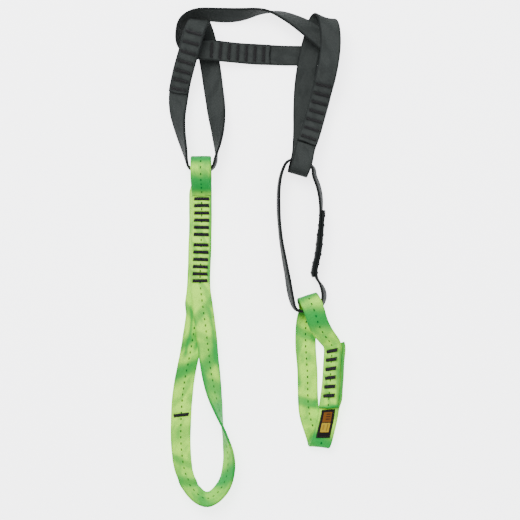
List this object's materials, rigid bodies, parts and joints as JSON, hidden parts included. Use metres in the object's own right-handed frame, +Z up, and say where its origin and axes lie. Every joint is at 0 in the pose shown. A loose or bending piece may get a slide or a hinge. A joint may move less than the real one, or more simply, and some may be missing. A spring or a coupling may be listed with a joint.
{
  "type": "webbing loop chain lanyard",
  "caption": "Chain lanyard of linked sewn webbing loops: a long green sling, black connecting links and a short green grip loop, laid flat in a U.",
  "frame": {"origin": "middle of the outline in plan, on the table the lanyard lies on", "axes": "+Z up off the table, +Y towards the crosswise top link, +X towards the short green loop's side"},
  "size_m": [0.1484, 0.4214, 0.0282],
  "materials": {
    "black webbing": "woven nylon, low sheen",
    "green webbing": "woven nylon, slight sheen",
    "black thread": "matt bonded thread",
    "label cloth": "printed cloth label, no lettering"
  },
  "bodies": {
    "top_link": {"top_link": "black webbing", "top_link_tack_01": "black thread", "top_link_tack_02": "black thread", "top_link_tack_03": "black thread", "top_link_tack_04": "black thread", "top_link_tack_05": "black thread", "top_link_tack_06": "black thread", "top_link_tack_07": "black thread"},
    "left_link": {"left_link": "black webbing", "left_link_tack_01": "black thread", "left_link_tack_02": "black thread", "left_link_tack_03": "black thread", "left_link_tack_04": "black thread", "left_link_tack_05": "black thread", "left_link_tack_06": "black thread", "left_link_tack_07": "black thread"},
    "long_sling": {"long_sling": "green webbing", "long_sling_tack_01": "black thread", "long_sling_tack_02": "black thread", "long_sling_tack_03": "black thread", "long_sling_tack_04": "black thread", "long_sling_tack_05": "black thread", "long_sling_tack_06": "black thread", "long_sling_tack_07": "black thread", "long_sling_tack_08": "black thread", "long_sling_tack_09": "black thread", "long_sling_tack_10": "black thread", "long_sling_tack_11": "black thread", "long_sling_tack_12": "black thread", "long_sling_tack_13": "black thread"},
    "right_link": {"right_link": "black webbing", "right_link_tack_01": "black thread", "right_link_tack_02": "black thread", "right_link_tack_03": "black thread", "right_link_tack_04": "black thread", "right_link_tack_05": "black thread", "right_link_tack_06": "black thread", "right_link_tack_07": "black thread"},
    "drop_link": {"drop_link": "black webbing", "drop_link_tack_01": "black thread", "drop_link_tack_02": "black thread", "drop_link_tack_03": "black thread", "drop_link_tack_04": "black thread", "drop_link_tack_05": "black thread", "drop_link_tack_06": "black thread", "drop_link_tack_07": "black thread"},
    "grip_loop": {"grip_loop": "green webbing", "grip_loop_tack_01": "black thread", "grip_loop_tack_02": "black thread", "grip_loop_tack_03": "black thread", "grip_loop_tack_04": "black thread", "grip_loop_tack_05": "black thread", "grip_loop_tack_06": "black thread", "label": "label cloth"}
  },
  "joints": [
    {"name": "left_link_swing", "type": "hinge", "parent": "top_link", "child": "left_link", "pos_m": [-0.0552, 0.18675, 0.01227], "axis": [0, 0, 1], "range_deg": [-25, 3]},
    {"name": "long_sling_lift", "type": "hinge", "parent": "left_link", "child": "long_sling", "pos_m": [-0.0462, 0.07405, 0.01207], "axis": [-1, 0, 0], "range_deg": [0, 70]},
    {"name": "right_link_swing", "type": "hinge", "parent": "top_link", "child": "right_link", "pos_m": [0.0469, 0.19525, 0.01227], "axis": [0, 0, 1], "range_deg": [-4, 10]},
    {"name": "drop_link_lift", "type": "hinge", "parent": "right_link", "child": "drop_link", "pos_m": [0.0383, 0.08085, 0.01207], "axis": [-0.9563, 0.2924, 0], "range_deg": [0, 75]},
    {"name": "grip_loop_lift", "type": "hinge", "parent": "drop_link", "child": "grip_loop", "pos_m": [0.0466, -0.04285, 0.01207], "axis": [-0.9511, -0.309, 0], "range_deg": [0, 60]}
  ]
}
